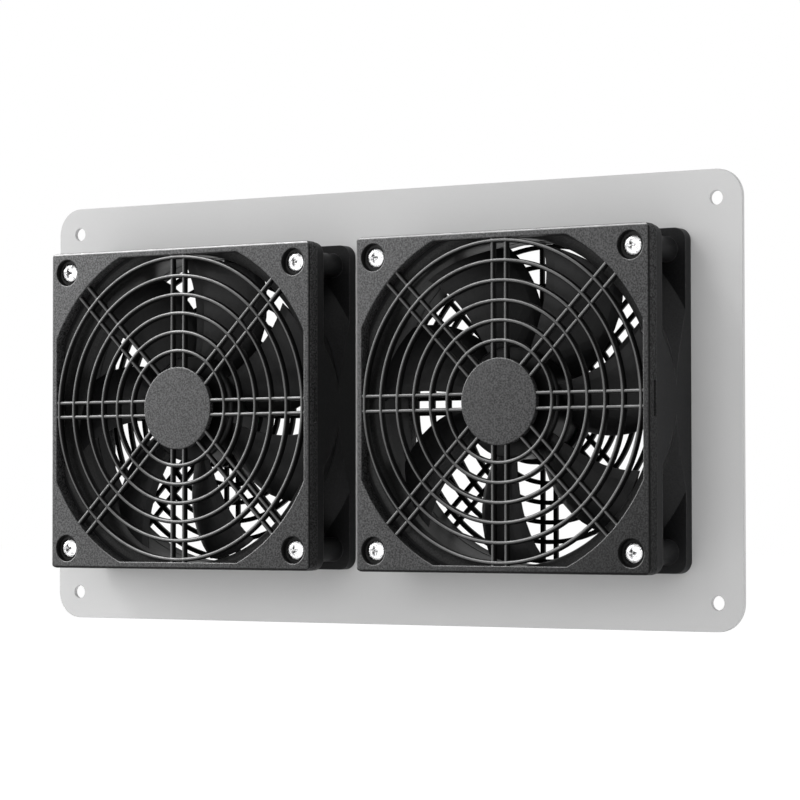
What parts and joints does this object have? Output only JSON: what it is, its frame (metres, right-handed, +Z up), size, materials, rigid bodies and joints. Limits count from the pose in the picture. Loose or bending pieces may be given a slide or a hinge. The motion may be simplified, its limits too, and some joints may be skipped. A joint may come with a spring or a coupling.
{
  "type": "solar exhaust fan",
  "caption": "Pale mounting plate carrying square axial fans side by side, with ring-and-spoke guards front and back and free-spinning bladed impellers.",
  "frame": {"origin": "middle of the mounting plate's rear face, at the centre of its four mounting holes", "axes": "+Z up, +X to the right along the plate, +Y out of the plate's rear face; the fans face -Y"},
  "size_m": [0.3, 0.0365, 0.16],
  "materials": {
    "plate_finish": "satin powder coat",
    "frame_plastic": "moulded, semi-matt",
    "blade_plastic": "moulded, semi-matt",
    "guard_plastic": "moulded, fine spark-eroded texture",
    "screw_steel": "bright plated",
    "plated_steel": "zinc plated",
    "bright_steel": "ground",
    "magnet": "bonded ferrite",
    "brass": "turned",
    "stator_steel": "stacked sheets",
    "bobbin_nylon": "moulded",
    "enamelled_copper": "enamelled wire",
    "board_laminate": "solder mask",
    "chip_epoxy": "moulded epoxy"
  },
  "bodies": {
    "panel": {"mounting_plate": "plate_finish", "left_fan_frame": "frame_plastic", "left_front_guard": "guard_plastic", "left_rear_guard": "guard_plastic", "left_fan_screws": "screw_steel", "left_fan_nuts": "screw_steel", "left_bearing_balls": "bright_steel", "left_bearing_outer_rings": "bright_steel", "left_preload_washer": "bright_steel", "left_bearing_tube": "brass", "left_stator_core": "stator_steel", "left_coil_bobbin": "bobbin_nylon", "left_windings": "enamelled_copper", "left_circuit_board": "board_laminate", "left_drive_chips": "chip_epoxy", "right_fan_frame": "frame_plastic", "right_front_guard": "guard_plastic", "right_rear_guard": "guard_plastic", "right_fan_screws": "screw_steel", "right_fan_nuts": "screw_steel", "right_bearing_balls": "bright_steel", "right_bearing_outer_rings": "bright_steel", "right_preload_washer": "bright_steel", "right_bearing_tube": "brass", "right_stator_core": "stator_steel", "right_coil_bobbin": "bobbin_nylon", "right_windings": "enamelled_copper", "right_circuit_board": "board_laminate", "right_drive_chips": "chip_epoxy"},
    "left_rotor": {"left_impeller": "blade_plastic", "left_rotor_yoke": "plated_steel", "left_rotor_magnet": "magnet", "left_shaft_bushing": "brass", "left_shaft": "bright_steel", "left_retaining_clip": "bright_steel", "left_bearing_inner_rings": "bright_steel"},
    "right_rotor": {"right_impeller": "blade_plastic", "right_rotor_yoke": "plated_steel", "right_rotor_magnet": "magnet", "right_shaft_bushing": "brass", "right_shaft": "bright_steel", "right_retaining_clip": "bright_steel", "right_bearing_inner_rings": "bright_steel"}
  },
  "joints": [
    {"name": "left_rotor_spin", "type": "hinge", "parent": "panel", "child": "left_rotor", "pos_m": [-0.07, -0.014, 0], "axis": [0, -1, 0], "continuous": true},
    {"name": "right_rotor_spin", "type": "hinge", "parent": "panel", "child": "right_rotor", "pos_m": [0.07, -0.014, 0], "axis": [0, -1, 0], "continuous": true}
  ]
}
